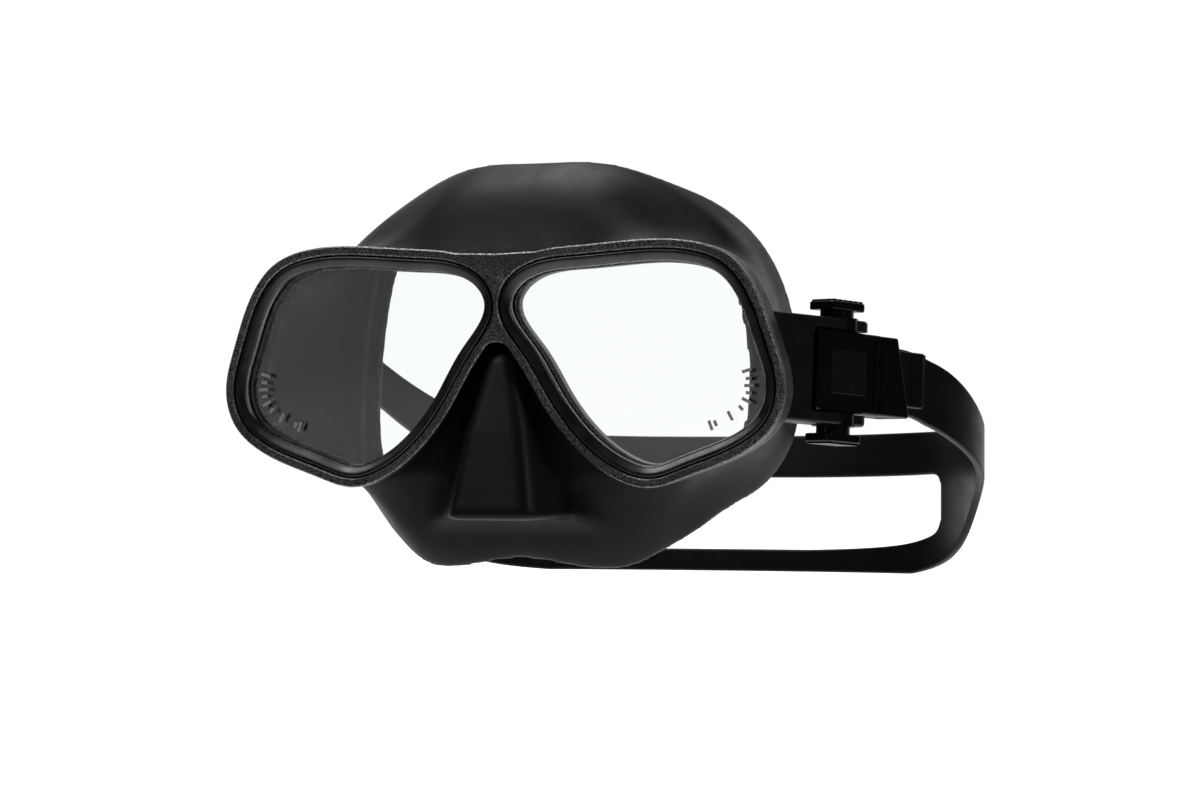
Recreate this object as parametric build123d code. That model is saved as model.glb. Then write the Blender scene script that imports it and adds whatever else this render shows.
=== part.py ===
from build123d import *
from math import cos, radians, sin, sqrt
import os

# A two-lens diving mask: metal front plate, plastic rear frame, silicone skirt
# with a nose pocket, two swivelling squeeze buckles and a split silicone strap.
#
# Working axes while modelling, in millimetres: X to the wearer's left, Y from
# the front of the mask towards the wearer, Z up, zero at the middle of the
# bridge on the front face.  The frame and skirt lean as one piece, and the
# finished parts are moved so that the origin is on the ground, under the
# middle of the mask's box.

# ---- driving dimensions -------------------------------------------------
FRAME_LEAN = 2.0            # top of the frame leans forward, degrees
GROUND_DROP = 57.87         # bridge middle above the ground
DEPTH_CENTRE = 82.47        # bridge front face to the middle of the box

PLATE_T = 2.3               # metal front plate
PLATE_EDGE = 0.35           # bright chamfer round the plate's face
RIM_W = 2.35                # metal rim outside each lens ring
RING_GAP = 0.4              # dark groove between rim and lens ring
RING_W = 3.0                # lens ring, face width
RING_FRONT = 0.3            # lens ring face, behind the plate's face
GLASS_FRONT = 2.6           # glass face, behind the plate's face
GLASS_T = 3.0
REAR_BACK = 8.3             # back of the rear frame
REVEAL_T = 1.0              # shadow gap between plate and rear frame
LIP_IN = 4.3                # silicone lip's edge, inside the ring's outline
SCREW_HEIGHTS = [24.2, 10.6]        # two screws through the bridge

SKIRT_WALL = 2.2
FLANGE_T = 1.8              # face seal
FLANGE_W = 10.0
POCKET_WALL = 2.0
FACE_Y = 24.0               # bridge front face to the wearer's face line
FACE_LEAN = 7.4             # forehead further back than the lip, degrees

HINGE_X, HINGE_Y, HINGE_Z = 83.0, 35.4, -1.6
BUCKLE_YAW = 21.6           # buckle turned outwards, degrees
BUCKLE_PITCH = 3.0          # rear end lower, degrees
HOUSING_HALF = 10.7         # half height of the buckle housing
HOUSING_WALL = 1.4
HOUSING_X = -5.9            # housing's inner face
ARM_EDGE = 0.9              # rounding of the fork
COVER_X = 3.5               # cover's inner face, outwards of the hinge
FORK_IN, FORK_OUT = 11.2, 14.1      # fork plates, above and below the hinge
BOSS_R, BOSS_HOLE_R = 5.7, 5.75     # housing boss and the fork's hole
BOSS_TOP = 14.4
STEM_R, STEM_HOLE_R = 3.2, 3.25     # button stem and its guide
COLLAR_R, COLLAR_HOLE_R = 4.5, 4.6  # wide part of the stem, above the boss
STEM_END = 6.4
BUTTON_TOP = 19.2
PAD_UNDER = 16.4
BUTTON_TRAVEL = 2.0
SWING_R = 12.5              # room round the hinge for the housing to turn in
PAWL_X, PAWL_Y = 0.2, 8.4   # pawl pin, from the hinge
PAWL_PIN_R, PAWL_HOLE_R = 0.8, 0.85
BAR_Y, BAR_R = 17.8, 1.5    # strap bar, behind the hinge
STRAP_GAP = 0.1             # strap to bar
BADGE_LONG, BADGE_TALL = 14.2, 11.8
RIDGES = 6                  # grip ridges on a button
SPRING_TURNS = 4.5

STRAP_T = 2.2
TAIL_RIBS = 7
STRAP_HALF = 9.0            # half width where it enters the buckle
WINDOW_R = 3.0              # corners of the split window

# outline of one lens ring (X, Z), from the bridge round by the top
RING_OUTLINE = [
    (0.8, 17), (3.4, 23), (9.5, 27), (24, 29.2), (40, 30.3), (55, 29.8), (65, 26.2),
    (72.4, 16.5), (76.6, 5), (79.2, -6), (76.8, -14.6), (69.5, -20.9), (53, -27.5),
    (43.5, -30.1), (34.5, -27.7), (24.5, -20.6), (15.5, -9.6), (7.5, 3.2),
]
# half outlines of the skirt (X, Z) at six depths, from the frame to the face
SKIRT_OUTLINES = [
    (8.3, [(0, 27.5), (24, 28.7), (46, 30), (64.5, 25.8), (73.5, 13), (78.6, -4),
           (75.4, -14.5), (65.5, -22.2), (51.5, -27.8), (31, -30.5), (12, -31), (0, -31)]),
    (13, [(0, 39), (22, 38), (45.5, 30.8), (64.2, 25.7), (73, 13), (77.6, -4),
          (74.4, -14.6), (63.5, -23), (50, -30.5), (28.5, -46.5), (11.5, -52), (0, -51.5)]),
    (20, [(0, 49), (21, 47.3), (45, 33.2), (63.2, 26), (71, 13.2), (74.8, -4.2),
          (71.5, -16), (60, -24.5), (47.5, -35), (26, -57), (10, -57), (0, -56)]),
    (30, [(0, 56.2), (21.5, 53.8), (40, 42.8), (59, 29.4), (67.5, 14.5), (71, -4.5),
          (67.5, -20), (56, -31.5), (44.5, -46.8), (25, -58.2), (9.5, -57), (0, -56)]),
    (42, [(0, 56.3), (22, 54.4), (39.6, 47), (55, 33.6), (64.4, 15.5), (68, -5),
          (64.8, -25), (54, -40), (42, -51.4), (24, -58.4), (9, -57), (0, -56)]),
    (60, [(0, 56.3), (22, 54.6), (39.8, 47.3), (54.8, 34), (62.8, 16), (65.5, -5),
          (62.5, -26), (53.4, -40.6), (41.6, -51.8), (24, -58.4), (9, -57), (0, -56)]),
]
# the strap's middle line in plan (X, Y), from the left buckle to the back
STRAP_LINE = [(98.5, 84), (101.2, 101), (97.2, 119), (87.5, 137), (74, 151.5), (57, 161),
              (36, 166.8), (0, 169.4)]
# strap edges seen from the side (Y, Z), and the split window between its bands;
# the right-hand side bows further up and is split further forward
STRAP_EDGES = {
    "left": {
        "top": [(40, 10), (58, 6.3), (74.7, 2.9), (86, -1), (95.7, -6.3), (109.4, -13.2),
                (125, -15.2), (155, -15.6), (175, -17)],
        "bottom": [(158, -57.87), (149, -54), (141, -48.5), (133, -41), (122, -33), (112, -29),
                   (101, -25), (86, -19), (72, -14.5), (58, -12), (40, -7)],
        "window": [(149.6, -28), (168, -29.2), (180, -29.2), (180, -51), (168, -51),
                   (158, -48.5), (149.6, -44.5)],
    },
    "right": {
        "top": [(40, 10), (58, 6.6), (80, 8.2), (105, 10.2), (119, 8.7), (129, 2.9), (138, -3.1),
                (150, -10.3), (163, -15.5), (175, -17)],
        "bottom": [(162, -57.87), (150, -54.5), (139, -47), (129, -39), (118, -31), (104, -22.5),
                   (80, -14.6), (58, -12), (40, -7)],
        "window": [(106, -2.6), (118, -4.6), (129, -11.5), (140, -19.5), (152, -25.8),
                   (168, -29.2), (180, -29.2), (180, -51), (168, -51), (152, -44.5), (139, -34),
                   (129, -26), (118, -19), (106, -13)],
    },
}


# ---- helpers --------------------------------------------------------------
def on_front(sketch, depth, thickness):
    """A flat outline in X, Z made solid from that depth rearwards."""
    return Location((0, depth + thickness, 0), (90, 0, 0)) * extrude(sketch, amount=thickness)


def moved_inwards(points, inset):
    """The points of a closed outline that runs clockwise, moved inwards."""
    moved = []
    for i, (x, z) in enumerate(points):
        ahead, behind = points[(i + 1) % len(points)], points[i - 1]
        tx, tz = ahead[0] - behind[0], ahead[1] - behind[1]
        length = sqrt(tx * tx + tz * tz)
        moved.append((x + inset * tz / length, z - inset * tx / length))
    return moved


def ring_face(inset):
    """The left lens ring's outline, moved inwards by the inset."""
    return make_face(Spline(moved_inwards(RING_OUTLINE, inset), periodic=True))


def both(shape):
    return shape + mirror(shape, about=Plane.YZ)


def lean(shape):
    """Leans a piece of the frame or skirt and sets it in the final frame."""
    return (Location((0, -DEPTH_CENTRE, GROUND_DROP), (FRAME_LEAN, 0, 0))) * shape


def set_down(shape):
    return Location((0, -DEPTH_CENTRE, GROUND_DROP)) * shape


BUCKLE_PLACE = (Location((HINGE_X, HINGE_Y, HINGE_Z))
                * Location((0, 0, 0), (0, 0, -BUCKLE_YAW))
                * Location((0, 0, 0), (-BUCKLE_PITCH, 0, 0)))


def block(x0, x1, y0, y1, z0, z1):
    return Location(((x0 + x1) / 2, (y0 + y1) / 2, (z0 + z1) / 2)) * Box(
        x1 - x0, y1 - y0, z1 - z0)


def post(radius, z0, z1, x=0, y=0):
    return Location((x, y, (z0 + z1) / 2)) * Cylinder(radius, z1 - z0)


# ---- frame and lenses ------------------------------------------------------
def plate_outline(inset):
    """The front plate's outline: both rims joined by the bridge."""
    rims = both(ring_face(inset - RIM_W))
    top = make_face(Polyline((-24, 31.5 - inset), (-12, 30.2 - inset), (0, 29.8 - inset),
                             (12, 30.2 - inset), (24, 31.5 - inset), (20, 20), (-20, 20),
                             close=True))
    web = Location((0, 14)) * Rectangle(16, 22)
    notch = Location((0, 1.1)) * Circle(5.2 + inset)
    return rims + top + (web - notch)


def front_frame():
    plate = on_front(plate_outline(0), 0, PLATE_T)
    plate -= both(on_front(ring_face(0), -1, PLATE_T + 2))
    return chamfer(plate.faces().sort_by(Axis.Y)[0].edges(), PLATE_EDGE)


def rear_frame():
    gap_end = PLATE_T + REVEAL_T
    body = on_front(plate_outline(1.2), PLATE_T, REVEAL_T)
    body += on_front(plate_outline(0.3), gap_end, REAR_BACK - gap_end)
    seat = on_front(ring_face(0.35), 0, GLASS_FRONT + GLASS_T)
    window = on_front(ring_face(2.1), 0, REAR_BACK + 1)
    body = body - both(seat) - both(window)
    body = chamfer(body.faces().sort_by(Axis.Y)[-1].outer_wire().edges(), 0.5)
    for z in SCREW_HEIGHTS:
        place = Location((0, 0, z)) * Rotation(-90, 0, 0)
        body -= place * post(1.05, PLATE_T - 1, REAR_BACK + 1)
        body -= place * post(2.1, REAR_BACK - 1.6, REAR_BACK + 1)
    return body


def frame_screws():
    """Two short screws at the bridge, from behind, stopping at the plate."""
    screws = []
    for z in SCREW_HEIGHTS:
        place = Location((0, 0, z)) * Rotation(-90, 0, 0)
        screw = post(1.0, PLATE_T, REAR_BACK - 1.5) + post(2.0, REAR_BACK - 1.55, REAR_BACK - 0.3)
        screw -= post(0.9, REAR_BACK - 1.0, REAR_BACK)
        screws.append(place * screw)
    return Compound(children=screws)


def lens_ring():
    """Sloping retaining ring, pressed against the glass."""
    blank = on_front(ring_face(RING_GAP), RING_FRONT, GLASS_FRONT - RING_FRONT)
    blank -= on_front(ring_face(RING_GAP + RING_W), 0, GLASS_FRONT + 1)
    return blank


def lens():
    return on_front(ring_face(0.7), GLASS_FRONT, GLASS_T)


# ---- skirt -----------------------------------------------------------------
def whole_outline(half):
    return half + [(-x, z) for x, z in reversed(half[1:-1])]


def skirt_section(depth, half, inset):
    """Closed section of the skirt at a depth, moved inwards by the inset."""
    ring = moved_inwards(whole_outline(half), inset)
    return Location((0, depth, 0), (90, 0, 0)) * make_face(Spline(ring, periodic=True))


def skirt_shell(inset):
    """Skirt between its outlines, moved inwards and started as much deeper."""
    sections = [skirt_section(depth + (inset if i == 0 else 0), half, inset)
                for i, (depth, half) in enumerate(SKIRT_OUTLINES)]
    sections.append(skirt_section(66.0, SKIRT_OUTLINES[-1][1], inset))
    return loft(sections, ruled=True)


def face_solid(forward):
    """The wearer's face: an oval column, leaning with the forehead back."""
    half_width, half_depth = 72, 62
    column = extrude(Location((0, 0, -90)) * Ellipse(half_width, half_depth), amount=180)
    return Location((0, half_depth + FACE_Y - forward, 0), (-FACE_LEAN, 0, 0)) * column


def pocket_section(z, front_half, front_y, back_half, back_y, radius):
    corners = [(-front_half, front_y), (front_half, front_y), (back_half, back_y),
               (-back_half, back_y)]
    face = make_face(Polyline(*[(x, y, z) for x, y in corners], close=True))
    return fillet(face.vertices().sort_by(Axis.Y)[:2], radius)


def nose_pocket(wall):
    rows = [(4.0, 3.0, 2.6, 4.3, 11.0, 1.4), (-18.0, 8.0, -2.4, 15.0, 12.0, 2.6),
            (-41.0, 11.5, -7.0, 24.0, 15.0, 3.2)]
    rise = [-wall, 0, wall]
    faces = []
    for (z, fh, fy, bh, by, r), up in zip(rows, rise):
        deeper = 6.0 if wall else 0.0
        faces.append(pocket_section(z + up, fh - 0.75 * wall, fy + wall, bh - wall + deeper / 4,
                                    by + deeper, r - 0.4 * wall))
    return loft(faces, ruled=True)


def skirt():
    """Outer shell and nose pocket, hollowed, with a face seal turned inwards."""
    cavity = skirt_shell(SKIRT_WALL) - face_solid(FLANGE_T)
    opening = make_face(Spline(moved_inwards(whole_outline(SKIRT_OUTLINES[-1][1]), FLANGE_W), periodic=True))
    body = skirt_shell(0) + nose_pocket(0)
    body -= face_solid(0)
    body -= cavity
    body -= on_front(opening, REAR_BACK, 60) & face_solid(FLANGE_T + 0.5)
    body -= nose_pocket(POCKET_WALL)
    lips = on_front(ring_face(2.2), GLASS_FRONT + GLASS_T, REAR_BACK - GLASS_FRONT - GLASS_T + 1)
    holes = on_front(ring_face(LIP_IN), 0, REAR_BACK + 6)
    level = Location((0, 0, 0), (-FRAME_LEAN, 0, 0))
    turning_room = level * BUCKLE_PLACE * post(SWING_R, -FORK_OUT - 1, FORK_OUT + 1)
    return body + both(lips) - both(holes) - both(turning_room)


# ---- buckle, in its own axes: x outwards, y rearwards, z along the hinge -----
def side_arm(neighbours):
    """Fork that leaves the rear frame and carries the buckle's two bosses."""
    outline = make_face(Polyline((-6.4, -24), (-3.6, -33), (1.6, -33), (2.8, -27), (4.4, -13.2),
                                 (5.2, -8), (5.2, 8.9), (-6.4, 8.9), close=True))
    outline = fillet(outline.vertices().sort_by(Axis.Y)[-2:], 3.6)
    solid = extrude(Location((0, 0, -FORK_OUT)) * outline, amount=2 * FORK_OUT)
    solid = fillet(solid.faces().sort_by(Axis.Z)[-1].edges(), ARM_EDGE)
    solid = fillet(solid.faces().sort_by(Axis.Z)[0].edges(), ARM_EDGE)
    solid -= block(-20, 20, -13.8, 20, -FORK_IN, FORK_IN)
    solid -= post(BOSS_HOLE_R, -20, 20)
    placed = BUCKLE_PLACE * solid
    for neighbour in neighbours:
        placed -= neighbour
    return placed.solids().sort_by(SortBy.VOLUME)[-1]


def buckle_housing():
    """Open box: bosses for the fork, guides for the stems, a rear strap slot."""
    inside = HOUSING_HALF - HOUSING_WALL
    side = make_face(Polyline((-10.6, -HOUSING_HALF), (-10.6, HOUSING_HALF),
                              (20.4, HOUSING_HALF), (26.0, -HOUSING_HALF), close=True))
    inner_side = Plane((HOUSING_X, 0, 0), x_dir=(0, 1, 0), z_dir=(1, 0, 0))
    solid = inner_side * extrude(side, amount=4.6 - HOUSING_X)
    solid = fillet(solid.edges().filter_by(Axis.X) + solid.faces().sort_by(Axis.X)[-1].edges(), 0.7)
    solid -= block(COVER_X - 0.1, 10, -20, 13.4, -20, 20)
    solid -= block(HOUSING_X + 1.3, 5, -9.2, 13.6, -inside, inside)
    solid -= block(HOUSING_X + 1.3, 3.9, 13, 30, -inside, inside)
    solid += post(BOSS_R, HOUSING_HALF - 0.5, BOSS_TOP) + post(BOSS_R, -BOSS_TOP, 0.5 - HOUSING_HALF)
    solid -= block(COVER_X - 0.1, 10, -12, 13.4, -FORK_IN + 0.05, FORK_IN - 0.05)
    solid -= post(STEM_HOLE_R, inside - 2, BOSS_TOP + 1)
    solid -= post(STEM_HOLE_R, -BOSS_TOP - 1, 2 - inside)
    recess = PAD_UNDER - 2 * BUTTON_TRAVEL - 0.3
    solid -= post(COLLAR_HOLE_R, recess, BOSS_TOP + 1) + post(COLLAR_HOLE_R, -BOSS_TOP - 1, -recess)
    solid -= post(PAWL_PIN_R, -10.1, 10.1, x=PAWL_X, y=PAWL_Y)
    solid -= post(BAR_R, -10.1, 10.1, y=BAR_Y)
    solid += block(HOUSING_X + 1.2, 2.6, -2.0, 2.0, -0.8, 0.8)
    return solid


def buckle_cover():
    """Outer cover plate with a sunken panel and a seat for the badge."""
    plate = block(COVER_X, 4.9, -12.4, 13.3, -10.7, 10.7)
    plate = fillet(plate.edges().filter_by(Axis.X), 0.9)
    plate = chamfer(plate.faces().sort_by(Axis.X)[-1].edges(), 0.35)
    panel = Location((4.9, 0.2, 0)) * Box(0.5, 20.6, 18.0)
    badge_seat = Location((4.65, 0.2, 0)) * Box(0.7, BADGE_LONG + 0.1, BADGE_TALL + 0.1)
    return plate - panel - badge_seat


def buckle_badge():
    """Blank square inlay."""
    tile = Location((4.525, 0.2, 0)) * Box(0.45, BADGE_LONG, BADGE_TALL)
    return chamfer(tile.faces().sort_by(Axis.X)[-1].edges(), 0.15)


def strap_bar():
    return post(BAR_R, -10.1, 10.1, y=BAR_Y)


def pawl_pin():
    return post(PAWL_PIN_R, -10.1, 10.1, x=PAWL_X, y=PAWL_Y)


def strap_pawl():
    """Toothed lever on the upright pin; its ears reach forward to the stems."""
    half = 8.6
    solid = post(1.7, -half, half, x=PAWL_X, y=PAWL_Y)
    solid += block(PAWL_X, PAWL_X + 1.6, PAWL_Y, 13.0, -half, half)
    solid += block(PAWL_X + 0.8, PAWL_X + 2.5, 11.8, 13.4, -half, half)
    solid += block(PAWL_X - 0.6, PAWL_X + 0.6, 3.9, PAWL_Y, 3.0, half)
    solid += block(PAWL_X - 0.6, PAWL_X + 0.6, 3.9, PAWL_Y, -half, -3.0)
    return solid - post(PAWL_HOLE_R, -9, 9, x=PAWL_X, y=PAWL_Y)


def button(sign):
    """Squeeze button: ridged pad, wide collar and a guided round stem."""
    solid = post(STEM_R, STEM_END, PAD_UNDER) + post(COLLAR_R, PAD_UNDER - 2, PAD_UNDER + 0.1)
    solid -= post(2.6, STEM_END - 1, STEM_END + 2)
    pad = block(-4.6, 4.6, -6.6, 6.6, PAD_UNDER, BUTTON_TOP - 0.5)
    pad = fillet(pad.edges().filter_by(Axis.Z), 1.3)
    pad = fillet(pad.faces().filter_by(Plane.XY).edges(), 0.5)
    for i in range(RIDGES):
        y = -5.8 + 2.1 * i
        pad += block(-3.9, 3.9, y, y + 1.1, BUTTON_TOP - 0.8, BUTTON_TOP)
    solid += pad
    return solid if sign > 0 else mirror(solid, about=Plane.XY)


def button_spring(sign):
    """Coil between the housing's middle bar and the seat in the stem."""
    wire_r, coil_r, low = 0.3, 2.1, 0.85
    height = STEM_END + 1.95 - low - 2 * wire_r
    path = Helix(pitch=height / SPRING_TURNS, height=height, radius=coil_r)
    profile = Plane(origin=path @ 0, z_dir=path % 0) * Circle(wire_r)
    coil = Location((0, 0, low + wire_r)) * sweep(profile, path=path)
    return coil if sign > 0 else Location((0, 0, 0), (180, 0, 0)) * coil


# ---- strap -----------------------------------------------------------------
def buckle_point(x, y):
    """A point of the buckle's plan, in the mask's X and Y."""
    yaw = radians(BUCKLE_YAW)
    return (HINGE_X + x * cos(yaw) + y * sin(yaw), HINGE_Y - x * sin(yaw) + y * cos(yaw))


def band_plan(centre_line, thickness):
    """Closed plan of a band that follows the centre line."""
    steps = [i / 12 for i in range(13)]
    sides = []
    for side in (1, -1):
        row = []
        for u in steps:
            p, t = centre_line @ u, centre_line % u
            row.append((p.X + side * t.Y * thickness / 2, p.Y - side * t.X * thickness / 2))
        sides.append(row)
    outer, inner = Spline(sides[0]), Spline(sides[1])
    return make_face([outer, inner, Line(outer @ 0, inner @ 0), Line(outer @ 1, inner @ 1)])


def strap_half(edges):
    """Half of the strap on the left, between its edges as seen from the side."""
    inner_x = -(BAR_R + STRAP_GAP + STRAP_T / 2)
    start = buckle_point(inner_x, 27.0)
    yaw = radians(BUCKLE_YAW)
    loop = Spline([start, *STRAP_LINE], tangents=[(sin(yaw), cos(yaw)), (-1, 0)])
    tall = extrude(Location((0, 0, -80)) * band_plan(loop, STRAP_T), amount=110)
    top, bottom, gap = (
        [(0, y, z) for y, z in edges[name]] for name in ("top", "bottom", "window"))
    corner = (0, top[-1][1], -GROUND_DROP)
    side = make_face([Spline(*top), Line(top[-1], corner), Line(corner, bottom[0]),
                      Spline(*bottom), Line(bottom[-1], top[0])])
    window = fillet(make_face(Polyline(*gap, close=True)).vertices(), WINDOW_R)
    half = tall & extrude(side, amount=120, dir=(1, 0, 0))
    return half - extrude(window, amount=120, dir=(1, 0, 0))


def strap():
    left, right = (strap_half(STRAP_EDGES[hand]) for hand in ("left", "right"))
    return left + mirror(right, about=Plane.YZ) + both(strap_end())


def strap_end():
    """The strap's turn round the buckle's bar, with the ribbed tail outside."""
    inner = BAR_R + STRAP_GAP
    outer = inner + STRAP_T
    high = STRAP_HALF - 0.1
    run_in = block(-outer, -inner, BAR_Y, 27.6, -high, high)
    turn = post(outer, -high, high, y=BAR_Y) - post(inner, -20, 20, y=BAR_Y)
    turn -= block(-10, 10, BAR_Y, 40, -20, 20)
    tail = block(inner, outer - 0.2, BAR_Y, 33.0, -7.6, 7.6)
    for i in range(TAIL_RIBS):
        y = 27.2 + 0.85 * i
        tail += block(outer - 0.4, outer + 0.2, y, y + 0.4, -7.4, 7.4)
    return BUCKLE_PLACE * (run_in + turn + tail)


# ---- write the parts ---------------------------------------------------------
def write(name, shape):
    export_step(shape, f"parts/{name}.step")


def write_pair(name, left_shape, place):
    write(name + "_left", place(left_shape))
    write(name + "_right", place(mirror(left_shape, about=Plane.YZ)))


def main():
    os.makedirs("parts", exist_ok=True)
    rear = rear_frame()
    plate = front_frame()
    skin = skirt()
    write("front_frame", lean(plate))
    write("rear_frame", lean(rear))
    write("frame_screws", lean(frame_screws()))
    write("skirt", lean(skin))
    write_pair("lens_ring", lens_ring(), lean)
    write_pair("lens", lens(), lean)
    leaned = Location((0, 0, 0), (FRAME_LEAN, 0, 0))
    arm = side_arm([leaned * on_front(plate_outline(0), 0, REAR_BACK), leaned * skin])
    write_pair("side_arm", arm, set_down)
    write("strap", set_down(strap()))
    for name, shape in [
            ("buckle_housing", buckle_housing()), ("buckle_cover", buckle_cover()),
            ("buckle_badge", buckle_badge()), ("strap_bar", strap_bar()),
            ("pawl_pin", pawl_pin()), ("strap_pawl", strap_pawl()),
            ("upper_button", button(1)), ("lower_button", button(-1)),
            ("upper_spring", button_spring(1)), ("lower_spring", button_spring(-1))]:
        write_pair(name, BUCKLE_PLACE * shape, set_down)


if __name__ == "__main__":
    main()
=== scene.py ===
from math import cos, pi, radians, sin, sqrt

import bmesh
import bpy
import numpy as np
from mathutils import Matrix, Vector


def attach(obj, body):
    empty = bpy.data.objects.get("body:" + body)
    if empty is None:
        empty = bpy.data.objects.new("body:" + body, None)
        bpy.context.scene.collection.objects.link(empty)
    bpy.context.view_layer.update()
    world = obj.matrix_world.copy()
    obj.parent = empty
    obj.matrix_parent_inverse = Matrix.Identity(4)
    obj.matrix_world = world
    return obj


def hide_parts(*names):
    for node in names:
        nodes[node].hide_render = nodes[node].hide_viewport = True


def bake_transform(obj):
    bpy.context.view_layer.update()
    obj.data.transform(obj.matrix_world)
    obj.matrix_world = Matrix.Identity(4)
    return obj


# Looks of a two-lens diving mask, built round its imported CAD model.
# Shapes are worked out in millimetres, in the mask's working axes: X to the
# wearer's left, Y rearwards from the bridge's front face, Z up from the middle
# of the bridge.  to_frame() leans them with the frame, set_down() doesn't.

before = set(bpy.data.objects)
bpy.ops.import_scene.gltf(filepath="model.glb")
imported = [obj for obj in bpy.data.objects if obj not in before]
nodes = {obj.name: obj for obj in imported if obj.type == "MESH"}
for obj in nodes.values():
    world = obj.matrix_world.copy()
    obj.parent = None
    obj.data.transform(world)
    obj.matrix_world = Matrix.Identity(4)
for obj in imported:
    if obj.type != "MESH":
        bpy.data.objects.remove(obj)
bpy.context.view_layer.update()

# ---- dimensions shared with the CAD, millimetres ------------------------------
MM = 0.001
FRAME_LEAN = radians(2.0)
GROUND_DROP = 57.87
DEPTH_CENTRE = 82.47

RING_GAP = 0.4
RING_W = 3.0
RING_FRONT = 0.3
GLASS_FRONT = 2.6
GLASS_T = 3.0
REAR_BACK = 8.3
LIP_OUT = 2.3
LIP_IN = 3.9

SKIRT_WALL = 2.2
FLANGE_T = 1.8
FLANGE_W = 10.0
POCKET_WALL = 2.0
FACE_Y = 24.0
FACE_HALF_WIDTH, FACE_HALF_DEPTH = 72.0, 62.0
FACE_LEAN = radians(7.4)

HINGE_X, HINGE_Y, HINGE_Z = 83.0, 35.4, -1.6
BUCKLE_YAW = radians(21.6)
BUCKLE_PITCH = radians(3.0)
BAR_Y, BAR_R = 17.8, 1.5
STRAP_GAP = 0.1
STRAP_T = 2.2
STRAP_HALF = 9.0
TAIL_RIBS = 7
TAIL_END = 33.0
TAIL_HALF = 7.6
WINDOW_R = 3.0

# outline of one lens ring (X, Z), from the bridge round by the top
RING_OUTLINE = [
    (0.8, 17), (3.4, 23), (9.5, 27), (24, 29.2), (40, 30.3), (55, 29.8), (65, 26.2),
    (72.4, 16.5), (76.6, 5), (79.2, -6), (76.8, -14.6), (69.5, -20.9), (53, -27.5),
    (43.5, -30.1), (34.5, -27.7), (24.5, -20.6), (15.5, -9.6), (7.5, 3.2),
]
# half outlines of the skirt (X, Z) at six depths, from the frame to the face
SKIRT_OUTLINES = [
    (8.3, [(0, 27.5), (24, 28.7), (46, 30), (64.5, 25.8), (73.5, 13), (78.6, -4),
           (75.4, -14.5), (65.5, -22.2), (51.5, -27.8), (31, -30.5), (12, -31), (0, -31)]),
    (13, [(0, 39), (22, 38), (45.5, 30.8), (64.2, 25.7), (73, 13), (77.6, -4),
          (74.4, -14.6), (63.5, -23), (50, -30.5), (28.5, -46.5), (11.5, -52), (0, -51.5)]),
    (20, [(0, 49), (21, 47.3), (45, 33.2), (63.2, 26), (71, 13.2), (74.8, -4.2),
          (71.5, -16), (60, -24.5), (47.5, -35), (26, -57), (10, -57), (0, -56)]),
    (30, [(0, 56.5), (21.5, 54.6), (41, 45.0), (59.6, 30.6), (67.5, 14.8), (71, -4.5),
          (67.5, -20), (56, -31.5), (44.5, -46.8), (25, -58.2), (9.5, -57), (0, -56)]),
    (42, [(0, 56.6), (22, 55.0), (40.2, 48.4), (55.8, 35.2), (64.6, 15.8), (68, -5),
          (64.8, -25), (54, -40), (42, -51.4), (24, -58.4), (9, -57), (0, -56)]),
    (60, [(0, 56.6), (22, 55.2), (40.4, 48.6), (55.6, 35.4), (63.0, 16.4), (65.5, -5),
          (62.5, -26), (53.4, -40.6), (41.6, -51.8), (24, -58.4), (9, -57), (0, -56)]),
]
# nose pocket: height, half width and depth in front, the same behind
NOSE_ROWS = [(4.0, 3.0, 2.6, 4.3, 11.0), (-18.0, 8.0, -2.4, 15.0, 12.0),
             (-41.0, 11.5, -7.0, 24.0, 15.0)]
# the strap's middle line in plan (X, Y), from the left buckle to the back
STRAP_LINE = [(98.5, 84), (101.2, 101), (97.2, 119), (87.5, 137), (74, 151.5), (57, 161),
              (36, 166.8), (0, 169.4)]
# strap edges seen from the side (Y, Z), and the split window between its bands;
# the right-hand side bows further up and is split further forward
STRAP_EDGES = {
    "left": {
        "top": [(40, 10), (58, 6.3), (74.7, 2.9), (86, -1), (95.7, -6.3), (109.4, -13.2),
                (125, -15.2), (155, -15.6), (175, -17)],
        "bottom": [(158, -57.87), (149, -54), (141, -48.5), (133, -41), (122, -33), (112, -29),
                   (101, -25), (86, -19), (72, -14.5), (58, -12), (40, -7)],
        "window": [(149.6, -28), (168, -29.2), (180, -29.2), (180, -51), (168, -51),
                   (158, -48.5), (149.6, -44.5)],
    },
    "right": {
        "top": [(40, 10), (58, 6.6), (80, 8.2), (105, 10.2), (119, 8.7), (129, 2.9),
                (138, -3.1), (150, -10.3), (163, -15.5), (175, -17)],
        "bottom": [(162, -57.87), (150, -54.5), (139, -47), (129, -39), (118, -31),
                   (104, -22.5), (80, -14.6), (58, -12), (40, -7)],
        "window": [(106, -2.6), (118, -4.6), (129, -11.5), (140, -19.5), (152, -25.8),
                   (168, -29.2), (180, -29.2), (180, -51), (168, -51), (152, -44.5), (139, -34),
                   (129, -26), (118, -19), (106, -13)],
    },
}

# ---- camera -------------------------------------------------------------------
CAMERA_AZIMUTH = radians(23.0)
CAMERA_ELEVATION = radians(-1.3)
CAMERA_ROLL = radians(0.156)
CAMERA_DISTANCE = 1014.0        # along the view, from the bridge's front face
CAMERA_RIGHT, CAMERA_UP = 27.78, -9.04
CAMERA_LENS, CAMERA_SENSOR = 114.4, 36.0


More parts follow.
